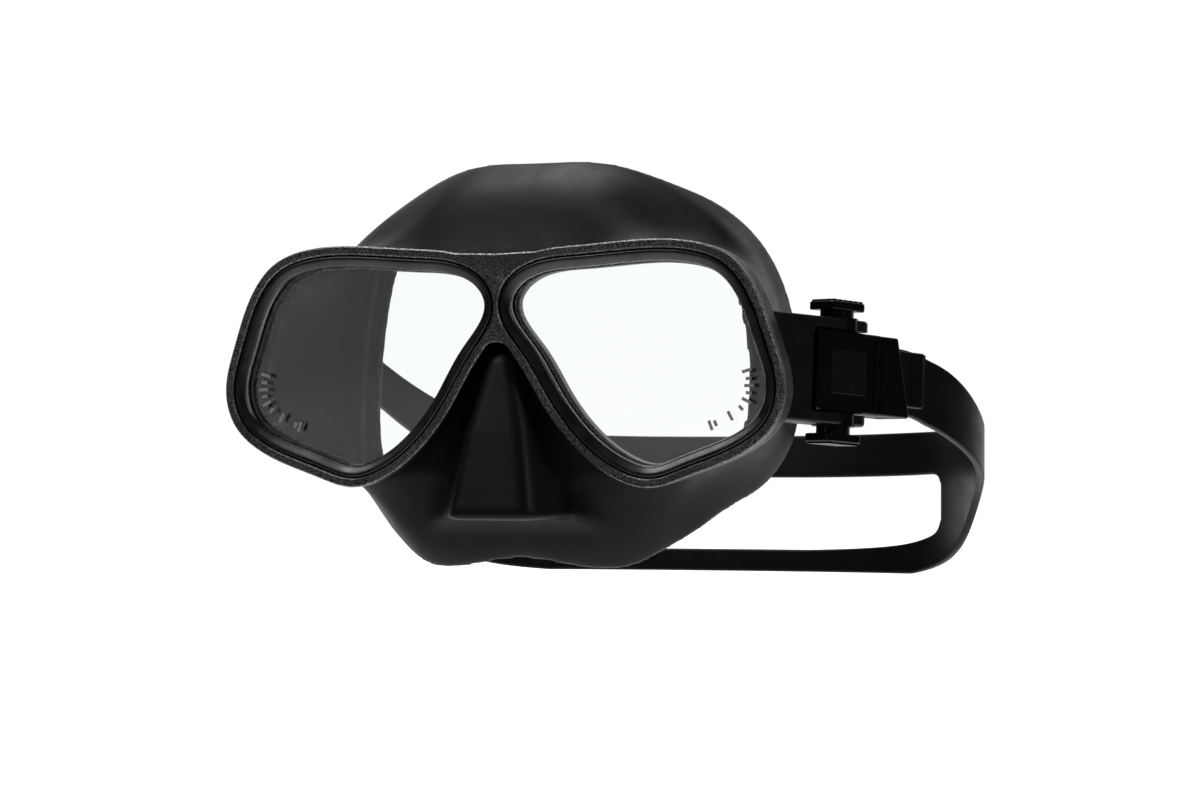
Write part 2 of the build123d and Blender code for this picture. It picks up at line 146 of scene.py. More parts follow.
# ---- helpers ------------------------------------------------------------------
def spline(points, count, closed=False, ends=None):
    """Cubic curve through the points, chord-length steps, as count samples.
    ends gives the unit tangents of an open curve."""
    p = np.array(points, float)
    if closed:
        p = np.vstack([p, p[:1]])
    h = np.linalg.norm(np.diff(p, axis=0), axis=1)
    n = len(p)
    a, b = np.zeros((n, n)), np.zeros_like(p)
    rise = np.diff(p, axis=0) / h[:, None]
    for i in range(1, n - 1):
        a[i, i - 1], a[i, i], a[i, i + 1] = h[i], 2 * (h[i - 1] + h[i]), h[i - 1]
        b[i] = 3 * (h[i] * rise[i - 1] + h[i - 1] * rise[i])
    if closed:
        a[0, n - 2], a[0, 0], a[0, 1] = h[0], 2 * (h[-1] + h[0]), h[-1]
        b[0] = 3 * (h[0] * rise[-1] + h[-1] * rise[0])
        a[-1, 0], a[-1, -1] = 1, -1
    elif ends:
        a[0, 0] = a[-1, -1] = 1
        b[0], b[-1] = ends
    else:
        a[0, 0], a[0, 1], b[0] = 2, 1, 3 * rise[0]
        a[-1, -1], a[-1, -2], b[-1] = 2, 1, 3 * rise[-1]
    slope = np.linalg.solve(a, b)
    at = np.concatenate([[0], np.cumsum(h)])
    u = np.linspace(0, at[-1], count, endpoint=not closed)
    k = np.clip(np.searchsorted(at, u, side="right") - 1, 0, n - 2)
    t = ((u - at[k]) / h[k])[:, None]
    step = h[k][:, None]
    return ((2 * t**3 - 3 * t**2 + 1) * p[k] + (t**3 - 2 * t**2 + t) * step * slope[k]
            + (3 * t**2 - 2 * t**3) * p[k + 1] + (t**3 - t**2) * step * slope[k + 1])


def moved_inwards(points, inset):
    """The points of a closed outline that runs clockwise, moved inwards."""
    p = np.array(points, float)
    along = np.roll(p, -1, axis=0) - np.roll(p, 1, axis=0)
    along /= np.linalg.norm(along, axis=1)[:, None]
    return p + inset * np.column_stack([along[:, 1], -along[:, 0]])


def to_frame(points):
    """Working axes to the row frame, leaned with the frame, in metres."""
    p = np.array(points, float).reshape(-1, 3)
    y = p[:, 1] * cos(FRAME_LEAN) - p[:, 2] * sin(FRAME_LEAN)
    z = p[:, 1] * sin(FRAME_LEAN) + p[:, 2] * cos(FRAME_LEAN)
    return np.column_stack([p[:, 0], y - DEPTH_CENTRE, z + GROUND_DROP]) * MM


def set_down(points):
    """Working axes to the row frame, level, in metres."""
    p = np.array(points, float).reshape(-1, 3)
    return (p + [0, -DEPTH_CENTRE, GROUND_DROP]) * MM


def buckle_point(x, y, z):
    """A point of the left buckle's own axes, in working axes."""
    y, z = (y * cos(BUCKLE_PITCH) + z * sin(BUCKLE_PITCH),
            z * cos(BUCKLE_PITCH) - y * sin(BUCKLE_PITCH))
    return (HINGE_X + x * cos(BUCKLE_YAW) + y * sin(BUCKLE_YAW),
            HINGE_Y - x * sin(BUCKLE_YAW) + y * cos(BUCKLE_YAW), HINGE_Z + z)


def add_mesh(name, points, faces, material, sharp=None):
    mesh = bpy.data.meshes.new(name)
    mesh.from_pydata([tuple(p) for p in points], [], [tuple(int(i) for i in f) for f in faces])
    bm = bmesh.new()
    bm.from_mesh(mesh)
    bmesh.ops.recalc_face_normals(bm, faces=bm.faces)
    bm.to_mesh(mesh)
    bm.free()
    mesh.shade_smooth()
    if sharp:
        mesh.set_sharp_from_angle(angle=sharp)
    mesh.materials.append(material)
    piece = bpy.data.objects.new(name, mesh)
    bpy.context.scene.collection.objects.link(piece)
    return piece


def apply_modifiers(piece):
    graph = bpy.context.evaluated_depsgraph_get()
    mesh = bpy.data.meshes.new_from_object(piece.evaluated_get(graph))
    piece.modifiers.clear()
    piece.data = mesh
    return piece


# ---- materials ------------------------------------------------------------------
class Nodes:
    """A material's node tree, with a principled shader at its end."""

    def __init__(self, name, **sockets):
        self.material = bpy.data.materials.new(name)
        self.material.use_nodes = True
        self.tree = self.material.node_tree
        self.shader = self.tree.nodes["Principled BSDF"]
        for socket, value in sockets.items():
            self.shader.inputs[socket.replace("_", " ")].default_value = value
        self.place = self.add("ShaderNodeTexCoord").outputs["Object"]

    def add(self, kind, **settings):
        node = self.tree.nodes.new(kind)
        for key, value in settings.items():
            setattr(node, key, value)
        return node

    def link(self, a, b):
        self.tree.links.new(a, b)

    def noise(self, scale, detail=2.0, roughness=0.5, stretch=None):
        node = self.add("ShaderNodeTexNoise")
        node.inputs["Scale"].default_value = scale
        node.inputs["Detail"].default_value = detail
        node.inputs["Roughness"].default_value = roughness
        source = self.place
        if stretch:
            mapping = self.add("ShaderNodeMapping")
            mapping.inputs["Scale"].default_value = stretch
            self.link(source, mapping.inputs["Vector"])
            source = mapping.outputs["Vector"]
        self.link(source, node.inputs["Vector"])
        return node.outputs["Fac"]

    def spread(self, source, low, high, start=0.3, end=0.7):
        """source between start and end, spread from low to high."""
        node = self.add("ShaderNodeMapRange")
        for key, value in zip(("From Min", "From Max", "To Min", "To Max"),
                              (start, end, low, high)):
            node.inputs[key].default_value = value
        self.link(source, node.inputs["Value"])
        return node.outputs["Result"]

    def colours(self, source, stops):
        node = self.add("ShaderNodeValToRGB")
        ramp = node.color_ramp
        for i, (at, colour) in enumerate(stops):
            stop = ramp.elements[i] if i < 2 else ramp.elements.new(at)
            stop.position, stop.color = at, (*colour, 1)
        self.link(source, node.inputs["Fac"])
        self.link(node.outputs["Color"], self.shader.inputs["Base Color"])

    def rough(self, source, low, high, start=0.3, end=0.7):
        self.link(self.spread(source, low, high, start, end), self.shader.inputs["Roughness"])

    def bump(self, source, height, before=None):
        """Raises the surface by height millimetres at most."""
        node = self.add("ShaderNodeBump")
        node.inputs["Strength"].default_value = 1.0
        node.inputs["Distance"].default_value = height * MM
        self.link(source, node.inputs["Height"])
        if before:
            self.link(before, node.inputs["Normal"])
        self.link(node.outputs["Normal"], self.shader.inputs["Normal"])
        return node.outputs["Normal"]


def grey(value, tint=(1, 1, 1)):
    return tuple(value * t for t in tint)


def anodised_metal():
    m = Nodes("anodised_metal", Metallic=1.0, Specular_IOR_Level=0.5)
    grain = m.noise(2600, 2.0, 0.6)
    m.colours(grain, [(0.42, grey(0.07, (1, 1, 1.03))), (0.62, grey(0.42, (1, 1, 1.04)))])
    m.rough(m.noise(90, 3.0), 0.36, 0.48)
    m.bump(grain, 0.035)
    return m.material


def ring_metal():
    m = Nodes("ring_satin", Metallic=1.0)
    m.colours(m.noise(160, 3.0), [(0.3, grey(0.1)), (0.7, grey(0.14, (1, 1, 1.08)))])
    m.rough(m.noise(240, 2.0), 0.24, 0.33)
    m.bump(m.noise(1900, 2.0), 0.006)
    return m.material


def satin_black():
    m = Nodes("satin_black")
    m.colours(m.noise(120, 4.0), [(0.3, grey(0.006)), (0.7, grey(0.011))])
    m.rough(m.noise(300, 3.0), 0.34, 0.46)
    m.bump(m.noise(2200, 2.0), 0.012)
    return m.material


def gloss_black():
    m = Nodes("gloss_black")
    m.colours(m.noise(150, 3.0), [(0.3, grey(0.004)), (0.7, grey(0.007))])
    m.rough(m.noise(220, 4.0, 0.6), 0.1, 0.2)
    m.bump(m.noise(140, 2.0), 0.012)
    return m.material


def badge_black():
    m = Nodes("badge_black")
    m.colours(m.noise(300, 3.0), [(0.3, grey(0.008)), (0.7, grey(0.014))])
    m.rough(m.noise(700, 2.0, stretch=(1, 1, 0.04)), 0.22, 0.4)
    m.bump(m.noise(900, 2.0, stretch=(1, 1, 0.04)), 0.008)
    return m.material


def silicone(name="silicone", low=0.36, high=0.47):
    m = Nodes(name, IOR=1.42, Specular_IOR_Level=0.42)
    m.colours(m.noise(45, 4.0, 0.6), [(0.3, grey(0.0065, (1.04, 1, 0.96))),
                                      (0.7, grey(0.0105, (1.04, 1, 0.96)))])
    m.rough(m.noise(140, 4.0, 0.6), low, high)
    fine = m.bump(m.noise(1500, 3.0), 0.01)
    m.bump(m.noise(60, 2.0), 0.05, before=fine)
    return m.material


def lip_silicone():
    m = Nodes("silicone_lip", IOR=1.42)
    m.colours(m.noise(70, 3.0), [(0.3, grey(0.012, (0.9, 1, 1.2))),
                                 (0.7, grey(0.02, (0.9, 1, 1.2)))])
    m.rough(m.noise(200, 3.0), 0.22, 0.32)
    m.bump(m.noise(900, 2.0), 0.01)
    return m.material


def lens_glass():
    m = Nodes("lens_glass", Transmission_Weight=1.0, IOR=1.5, Roughness=0.0)
    m.colours(m.noise(8, 2.0), [(0.3, (0.955, 0.985, 0.985)), (0.7, (0.975, 0.995, 0.995))])
    m.rough(m.noise(60, 3.0), 0.0, 0.004)
    return m.material


def frosted_mark():
    m = Nodes("frosted_mark")
    m.colours(m.noise(2000, 2.0), [(0.3, grey(0.42)), (0.7, grey(0.6))])
    m.rough(m.noise(1500, 2.0), 0.6, 0.8)
    return m.material


def steel():
    m = Nodes("steel", Metallic=1.0)
    m.colours(m.noise(200, 3.0), [(0.3, grey(0.42)), (0.7, grey(0.55))])
    m.rough(m.noise(600, 3.0, stretch=(1, 1, 0.1)), 0.18, 0.32)
    m.bump(m.noise(1500, 2.0), 0.004)
    return m.material


MATERIALS = {
    "anodised": anodised_metal(), "ring": ring_metal(), "satin": satin_black(),
    "gloss": gloss_black(), "badge": badge_black(), "silicone": silicone(),
    "strap": silicone("strap_silicone", 0.3, 0.42), "lip": lip_silicone(),
    "glass": lens_glass(), "mark": frosted_mark(), "steel": steel(),
}


def finish_of(node_name):
    """The material a carried-over CAD node gets."""
    words = {
        "front_frame": "anodised", "rear_frame": "satin", "frame_screws": "steel",
        "lens_left": "glass", "lens_right": "glass", "side_arm": "satin",
        "buckle_badge": "badge", "strap_bar": "steel", "pawl_pin": "steel",
        "strap_pawl": "satin", "spring": "steel",
    }
    for word, finish in words.items():
        if word in node_name:
            return MATERIALS[finish]
    return MATERIALS["gloss"]


for name, node in nodes.items():
    node.data.materials.clear()
    node.data.materials.append(finish_of(name))
    node.data.polygons.foreach_set("material_index", [0] * len(node.data.polygons))


# ---- lens rings, lips and marks ---------------------------------------------------
RING_SAMPLES = 420
# (inset from the ring outline, depth) round the section of a lens ring
RING_SECTION = [
    (RING_GAP, GLASS_FRONT), (RING_GAP, RING_FRONT + 0.35), (RING_GAP + 0.12, RING_FRONT + 0.1),
    (RING_GAP + 0.38, RING_FRONT), (RING_GAP + 1.3, RING_FRONT + 0.3),
    (RING_GAP + 2.25, RING_FRONT + 0.62), (RING_GAP + 2.55, RING_FRONT + 0.76),
    (RING_GAP + 2.85, RING_FRONT + 1.05), (RING_GAP + RING_W, RING_FRONT + 1.45),
    (RING_GAP + RING_W, GLASS_FRONT - 0.02),
]
GLASS_BACK = GLASS_FRONT + GLASS_T
# section of the silicone lip that holds the glass
LIP_SECTION = [
    (LIP_OUT, GLASS_BACK + 0.02), (LIP_IN - 0.5, GLASS_BACK + 0.02),
    (LIP_IN - 0.12, GLASS_BACK + 0.2), (LIP_IN, GLASS_BACK + 0.7),
    (LIP_IN - 0.1, REAR_BACK + 1.4), (LIP_IN - 0.6, REAR_BACK + 2.1),
    (LIP_OUT, REAR_BACK + 2.1),
]


def swept_ring(name, section, material, side, sharp):
    """Closed band that follows the lens outline, on the left or the right."""
    rows = []
    for inset, depth in section:
        outline = spline(moved_inwards(RING_OUTLINE, inset), RING_SAMPLES, closed=True)
        rows.append(np.column_stack([side * outline[:, 0], np.full(RING_SAMPLES, depth),
                                     outline[:, 1]]))
    faces = []
    for j in range(len(rows)):
        k = (j + 1) % len(rows)
        for i in range(RING_SAMPLES):
            n = (i + 1) % RING_SAMPLES
            faces.append((j * RING_SAMPLES + i, j * RING_SAMPLES + n,
                          k * RING_SAMPLES + n, k * RING_SAMPLES + i))
    return add_mesh(name, to_frame(np.vstack(rows)), faces, material, sharp)


MARK_INSET = 8.2
MARK_TICKS = 9
MARK_START_Z, MARK_END_Z = -2.0, -17.5


def lens_mark(side):
    """A short frosted scale on the glass, near its lower outer corner."""
    line = spline(moved_inwards(RING_OUTLINE, MARK_INSET), 900, closed=True)
    outer = line[line[:, 0] > 60]
    outer = outer[np.argsort(-outer[:, 1])]
    points, faces = [], []
    for i, z in enumerate(np.linspace(MARK_START_Z, MARK_END_Z, MARK_TICKS)):
        k = int(np.argmin(abs(outer[:, 1] - z)))
        ahead = outer[min(k + 4, len(outer) - 1)] - outer[max(k - 4, 0)]
        ahead /= np.linalg.norm(ahead)
        across = np.array([ahead[1], -ahead[0]])
        long, wide = (1.35, 0.42) if i % 2 == 0 else (0.8, 0.42)
        start = len(points)
        for depth in (GLASS_FRONT - 0.06, GLASS_FRONT + 0.01):
            for a, b in ((-1, -1), (1, -1), (1, 1), (-1, 1)):
                x, zz = outer[k] + a * wide * ahead + b * long * across
                points.append((side * x, depth, zz))
        faces += [[start + f for f in face] for face in (
            (0, 1, 2, 3), (4, 5, 6, 7), (0, 1, 5, 4), (1, 2, 6, 5), (2, 3, 7, 6), (3, 0, 4, 7))]
    return add_mesh(f"lens_mark_{'left' if side > 0 else 'right'}", to_frame(points), faces,
                    MATERIALS["mark"], radians(30))


for hand, side in (("left", 1), ("right", -1)):
    ring = swept_ring(f"ring_{hand}", RING_SECTION, MATERIALS["ring"], side, radians(50))
    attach(ring, "mask")
    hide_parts(f"lens_ring_{hand}")
    lip = swept_ring(f"skirt_lip_{hand}", LIP_SECTION, MATERIALS["lip"], side, radians(50))
    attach(lip, "mask")
    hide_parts("skirt")
    mark = lens_mark(side)
    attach(mark, "mask")


# ---- skirt --------------------------------------------------------------------------
SKIRT_GRID = 1.0
TURN_STEPS = 1440
SEAL_ROUND = 3.0            # how softly the wall turns into the face seal
POCKET_EDGE = 2.8           # round the nose pocket's front panel
LENS_HOLE_INSET = 2.4       # inside the ring outline, in front of the lips
POCKET_FILLET = 5.5         # how softly the nose pocket joins the skirt


def soft_min(a, b, reach):
    h = np.maximum(reach - abs(a - b), 0) / reach
    return np.minimum(a, b) - h * h * reach / 4


def soft_max(a, b, reach):
    return -soft_min(-a, -b, reach)


def whole_outline(half):
    return half + [(-x, z) for x, z in reversed(half[1:-1])]


def radius_by_angle(outline):
    """Distance from the middle of the bridge to the outline, by angle."""
    dense = spline(outline, 2400, closed=True)
    angle = np.arctan2(dense[:, 1], dense[:, 0])
    order = np.argsort(angle)
    turn = np.linspace(-pi, pi, TURN_STEPS, endpoint=False)
    radius = np.hypot(dense[:, 0], dense[:, 1])
    return np.interp(turn, angle[order], radius[order], period=2 * pi)


def smoothed(table, width, axis):
    """Table averaged with a bell of that half width, in steps."""
    span = np.arange(-3 * width, 3 * width + 1)
    bell = np.exp(-0.5 * (span / width) ** 2)
    bell /= bell.sum()
    pad = [(0, 0), (0, 0)]
    pad[axis] = (len(span) // 2, len(span) // 2)
    padded = np.pad(table, pad, mode="wrap" if axis else "reflect", reflect_type="odd") \
        if axis == 0 else np.pad(table, pad, mode="wrap")
    return np.apply_along_axis(lambda row: np.convolve(row, bell, mode="valid"), axis, padded)


class Field:
    """The points of a box grid, and functions over it."""

    def __init__(self, low, high, step):
        axes = [np.arange(a, b + step, step) for a, b in zip(low, high)]
        self.low, self.step = np.array([a[0] for a in axes]), step
        self.x, self.y, self.z = np.meshgrid(*axes, indexing="ij")

    def distance(self, values):
        """values scaled so that they count millimetres near their zero."""
        gx, gy, gz = np.gradient(values, self.step)
        return values / np.maximum(np.sqrt(gx * gx + gy * gy + gz * gz), 0.2)


def tube(field, tables, depths):
    """Below zero inside a tube whose radius is given by angle and depth."""
    angle = (np.arctan2(field.z, field.x) + pi) / (2 * pi) * TURN_STEPS
    a0 = np.floor(angle).astype(int)
    af = angle - a0
    a0 %= TURN_STEPS
    a1 = (a0 + 1) % TURN_STEPS
    row = np.clip((field.y - depths[0]) / (depths[1] - depths[0]), 0, len(depths) - 1.001)
    r0 = np.floor(row).astype(int)
    rf = row - r0
    radius = ((tables[r0, a0] * (1 - af) + tables[r0, a1] * af) * (1 - rf)
              + (tables[r0 + 1, a0] * (1 - af) + tables[r0 + 1, a1] * af) * rf)
    return field.distance(np.hypot(field.x, field.z) - radius)


def pocket(field, wall):
    """Below zero inside the nose pocket, or inside its hollow."""
    rows = np.array(NOSE_ROWS)[::-1]
    z = field.z
    front_half, front_y, back_half, back_y = (
        np.interp(z, rows[:, 0], rows[:, i]) for i in range(1, 5))
    if wall:
        front_half = front_half - 0.75 * wall
        front_y = front_y + wall
        back_half = back_half - wall + 1.5
        back_y = back_y + 6.0
    share = (field.y - front_y) / (back_y - front_y)
    half = front_half + (back_half - front_half) * share
    slope = (back_half - front_half) / (back_y - front_y)
    sides = (abs(field.x) - half) / np.sqrt(1 + slope * slope)
    front = front_y - field.y
    low, high = rows[0, 0] + wall, rows[-1, 0] - wall
    body = soft_max(sides, front, POCKET_EDGE)
    body = soft_max(body, low - z, 2.6)
    body = soft_max(body, z - high, 3.0)
    return np.maximum(body, field.y - back_y)


def skirt_field(field):
    lofted = [depth for depth, _ in SKIRT_OUTLINES]
    tables = np.array([radius_by_angle(whole_outline(half)) for _, half in SKIRT_OUTLINES])
    depths = np.arange(REAR_BACK, 66.01, 0.5)
    table = np.array([[np.interp(d, lofted, tables[:, i]) for d in depths]
                      for i in range(TURN_STEPS)]).T
    table = smoothed(smoothed(table, 5, 0), 9, 1)
    wall = tube(field, table, depths)
    face_edge = radius_by_angle(moved_inwards(whole_outline(SKIRT_OUTLINES[-1][1]), FLANGE_W))
    opening = tube(field, np.array([face_edge, face_edge]), [0.0, 66.0])
    # the wearer's face: an oval column, leaning with the forehead back
    y = field.y - FACE_HALF_DEPTH - FACE_Y
    across = y * cos(FACE_LEAN) - field.z * sin(FACE_LEAN)
    face = field.distance(FACE_HALF_DEPTH * (np.sqrt(
        (field.x / FACE_HALF_WIDTH) ** 2 + (across / FACE_HALF_DEPTH) ** 2) - 1))
    body = soft_max(wall, REAR_BACK - field.y, 2.5)
    body = soft_min(body, pocket(field, 0), POCKET_FILLET)
    body = soft_max(body, -face, SEAL_ROUND)
    cavity = soft_max(wall + SKIRT_WALL, REAR_BACK + SKIRT_WALL - field.y, 3.0)
    cavity = soft_max(cavity, FLANGE_T - face, 4.0)
    through = soft_max(opening, face - FLANGE_T - 1.5, 1.0)
    through = np.maximum(through, REAR_BACK + 4 - field.y)
    hollow = soft_min(cavity, through, 1.0)
    hollow = soft_min(hollow, pocket(field, POCKET_WALL), 3.0)
    hollow = np.minimum(hollow, lens_holes(field))
    return soft_max(body, -hollow, 0.8)


def lens_holes(field):
    """Below zero in front of the lips, inside the lens outlines."""
    outline = spline(moved_inwards(RING_OUTLINE, LENS_HOLE_INSET), 240, closed=True)
    x, z = abs(field.x[:, 0, :]), field.z[:, 0, :]
    nearest = np.full(x.shape, 1e9)
    inside = np.zeros(x.shape, bool)
    for (ax, az), (bx, bz) in zip(outline, np.roll(outline, -1, axis=0)):
        t = np.clip(((x - ax) * (bx - ax) + (z - az) * (bz - az))
                    / ((bx - ax) ** 2 + (bz - az) ** 2), 0, 1)
        nearest = np.minimum(nearest, np.hypot(x - ax - t * (bx - ax), z - az - t * (bz - az)))
        crosses = (az > z) != (bz > z)
        at = ax + (z - az) / np.where(bz == az, 1e-9, bz - az) * (bx - ax)
        inside ^= crosses & (x < at)
    flat = np.where(inside, -nearest, nearest)[:, None, :]
    return np.maximum(flat, field.y - (REAR_BACK + 6))


def surface(field, values):
    """Mesh of the zero surface: one point per crossed cell, joined over crossed edges."""
    shape = np.array(values.shape)
    corners = [(i, j, k) for i in (0, 1) for j in (0, 1) for k in (0, 1)]
    inside = values < 0
    parts = [inside[i:shape[0] - 1 + i, j:shape[1] - 1 + j, k:shape[2] - 1 + k]
             for i, j, k in corners]
    count = np.sum(parts, axis=0)
    cells = np.argwhere((count > 0) & (count < 8))
    at = {c: values[cells[:, 0] + c[0], cells[:, 1] + c[1], cells[:, 2] + c[2]]
          for c in corners}
    total, hits = np.zeros((len(cells), 3)), np.zeros(len(cells))
    for a in corners:
        for axis in range(3):
            if a[axis]:
                continue
            b = tuple(v + (1 if n == axis else 0) for n, v in enumerate(a))
            crossed = (at[a] < 0) != (at[b] < 0)
            share = np.where(crossed, at[a] / np.where(crossed, at[a] - at[b], 1), 0)
            step = np.zeros(3)
            step[axis] = 1
            total += crossed[:, None] * (np.array(a) + share[:, None] * step)
            hits += crossed
    points = (cells + total / hits[:, None]) * field.step + field.low
    index = np.full(tuple(shape - 1), -1)
    index[tuple(cells.T)] = np.arange(len(cells))
    faces = []
    for axis in range(3):
        u, v = [n for n in range(3) if n != axis]
        ahead = [slice(None)] * 3
        ahead[axis] = slice(1, None)
        before = [slice(None)] * 3
        before[axis] = slice(None, -1)
        a, b = inside[tuple(before)], inside[tuple(ahead)]
        edges = np.argwhere(a != b)
        edges = edges[(edges[:, u] > 0) & (edges[:, v] > 0)]
        du, dv = np.eye(3, dtype=int)[u], np.eye(3, dtype=int)[v]
        quad = [index[tuple((edges - s * du - t * dv).T)]
                for s, t in ((1, 1), (0, 1), (0, 0), (1, 0))]
        faces.append(np.column_stack(quad))
    return points, np.vstack(faces)


def relaxed(points, faces, rounds):
    """Takes the grid's steps out of the surface without shrinking it."""
    edges = np.vstack([faces[:, [i, (i + 1) % 4]] for i in range(4)])
    a = np.concatenate([edges[:, 0], edges[:, 1]])
    b = np.concatenate([edges[:, 1], edges[:, 0]])
    count = np.bincount(a, minlength=len(points))
    for i in range(rounds):
        for share in (0.5, -0.52):
            mean = np.column_stack([np.bincount(a, weights=points[b, n], minlength=len(points))
                                    for n in range(3)]) / count[:, None]
            points = points + share * (mean - points)
    return points


box = Field((-83, -10, -62), (83, 63, 60), SKIRT_GRID)
points, faces = surface(box, skirt_field(box))
points = relaxed(points, faces, 6)
skirt = add_mesh("skirt_shell", to_frame(points), faces, MATERIALS["silicone"])
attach(skirt, "mask")
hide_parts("skirt")


# ---- strap ---------------------------------------------------------------------------
STRAP_STEP = 2.0            # millimetres between the strap's columns
EDGE_LOOP = 0.7             # how near an edge its first loop runs
TAIL_OFFSET = BAR_R + STRAP_GAP + STRAP_T / 2


def height_of(profile, y):
    curve = spline(profile, 600)
    order = np.argsort(curve[:, 0])
    return np.interp(y, curve[order, 0], curve[order, 1])


def window_limits(edges, y):
    """Lower and upper edge of the split window at that Y, with rounded corners."""
    window = edges["window"]
    low_side = [p for p in window if window.index(p) >= len(window) // 2 and p[0] < 180]
    high_side = [p for p in window if window.index(p) < len(window) // 2 + 1 and p[0] < 180]
    low, high = (height_of(np.array(sorted(side)), max(y, window[0][0]))
                 for side in (low_side, high_side))
    into = np.clip((window[0][0] + WINDOW_R - y) / WINDOW_R, 0, 1)
    corner = WINDOW_R - WINDOW_R * sqrt(max(0.0, 1 - into * into))
    return low + corner, high - corner


def strap_columns(edges):
    """One half's columns, from the tail's end to the middle of the back:
    low point, high point, and Y where it is past the buckle."""
    columns = []

    def buckle_column(x, y, half):
        columns.append((buckle_point(x, y, -half), buckle_point(x, y, half), None))

    for y in np.linspace(TAIL_END, BAR_Y + 0.5, 9):
        buckle_column(TAIL_OFFSET - 0.05, y, TAIL_HALF)
    for turn in np.linspace(0, pi, 9):
        half = TAIL_HALF + (STRAP_HALF - 0.15 - TAIL_HALF) * turn / pi
        buckle_column(TAIL_OFFSET * cos(turn), BAR_Y - TAIL_OFFSET * sin(turn), half)
    for y in np.linspace(BAR_Y + 2, 25.0, 5):
        buckle_column(-TAIL_OFFSET, y, STRAP_HALF - 0.15)
    start = buckle_point(-TAIL_OFFSET, 27.0, 0)[:2]
    ends = ((sin(BUCKLE_YAW), cos(BUCKLE_YAW)), (-1, 0))
    line = spline([start] + STRAP_LINE, 3000, ends=ends)
    length = np.concatenate([[0], np.cumsum(np.linalg.norm(np.diff(line, axis=0), axis=1))])
    stops = list(np.arange(1.5, length[-1] - 1, STRAP_STEP)) + [length[-1]]
    split = edges["window"][0][0]
    wanted = [np.interp(split + off, line[:, 1], length)
              for off in (-1.6, -EDGE_LOOP, 0, 0.2, 0.8, 1.7, WINDOW_R, WINDOW_R + 1.2)]
    stops = [s for s in stops if min(abs(s - w) for w in wanted) > 0.45 * STRAP_STEP
             and not wanted[0] < s < wanted[-1]]
    for s in sorted(stops + wanted):
        x, y = (np.interp(s, length, line[:, i]) for i in (0, 1))
        share = min(1.0, s / 14.0)
        low, high = height_of(edges["bottom"], y), height_of(edges["top"], y)
        low = max(low, -GROUND_DROP + 0.1) if y < edges["bottom"][0][0] else -GROUND_DROP + 0.1
        b_low = buckle_point(-TAIL_OFFSET, 27.0 + s, -STRAP_HALF + 0.15)[2]
        b_high = buckle_point(-TAIL_OFFSET, 27.0 + s, STRAP_HALF - 0.15)[2]
        low, high = b_low + (low - b_low) * share, b_high + (high - b_high) * share
        columns.append(((x, y, low), (x, y, high), y))
    (_, y, low), (_, _, high), _ = columns[-1]
    columns.append(((-STRAP_STEP, y, low), (-STRAP_STEP, y, high), y))
    return columns


def band_rows(height, count):
    """Shares across a band, with a loop near each edge."""
    near = min(EDGE_LOOP / height, 0.2)
    return [0, near, *np.linspace(near, 1 - near, count + 2)[1:-1], 1 - near, 1]


def strap_half(hand, side):
    edges = STRAP_EDGES[hand]
    split = edges["window"][0][0]
    columns = strap_columns(edges)
    points, in_window = [], []
    bands = (5, 3, 4)
    for low, high, y in columns:
        low, high = np.array(low), np.array(high)
        tall = high[2] - low[2]
        if y is not None and y >= split - 1e-6:
            limits = [(z - low[2]) / tall for z in window_limits(edges, y)]
        else:
            away = 1.0 if y is None else min(1.0, (split - y) / 22.0)
            away = away * away * (3 - 2 * away)
            edge = (0.42, 0.58)
            if y is not None:
                edge = [(z - low[2]) / tall for z in window_limits(edges, split)]
                edge = [min(max(e, 0.2 + 0.25 * k), 0.55 + 0.25 * k) if away > 0.5 else e
                        for k, e in enumerate(edge)]
            limits = [e * (1 - away) + p * away for e, p in zip(edge, (0.42, 0.58))]
        marks = [0, *limits, 1]
        shares = []
        for k, count in enumerate(bands):
            a, b = marks[k], marks[k + 1]
            inner = band_rows(max(b - a, 0.02) * tall, count)
            shares += [a + (b - a) * r for r in (inner if k == 0 else inner[1:])]
        points += [low + (high - low) * r for r in shares]
        in_window.append(y is not None and y > split + 1e-6)
    rows = len(points) // len(columns)
    first = bands[0] + 3
    last = first + bands[1] + 3
    faces = []
    for i in range(len(columns) - 1):
        for j in range(rows - 1):
            hole = first <= j < last and in_window[i + 1]
            if not hole:
                a = i * rows + j
                faces.append((a, a + 1, a + rows + 1, a + rows))
    points = np.array(points) * [side, 1, 1]
    used = sorted({i for f in faces for i in f})
    renumber = {old: new for new, old in enumerate(used)}
    faces = [[renumber[i] for i in f] for f in faces]
    band = add_mesh(f"strap_{hand}", set_down(points[used]), faces, MATERIALS["strap"])
    solid = band.modifiers.new("thickness", "SOLIDIFY")
    solid.thickness = STRAP_T * MM
    solid.offset = 0
    solid.use_even_offset = True
    soft = band.modifiers.new("soft", "SUBSURF")
    soft.levels = soft.render_levels = 1
    apply_modifiers(band)
    bm = bmesh.new()
    bm.from_mesh(band.data)
    bmesh.ops.bisect_plane(bm, geom=bm.verts[:] + bm.edges[:] + bm.faces[:], plane_co=(0, 0, 0),
                           plane_no=(side, 0, 0), clear_inner=True)
    bmesh.ops.holes_fill(bm, edges=[e for e in bm.edges if e.is_boundary])
    bm.to_mesh(band.data)
    bm.free()
    band.data.set_sharp_from_angle(angle=radians(60))
    return band


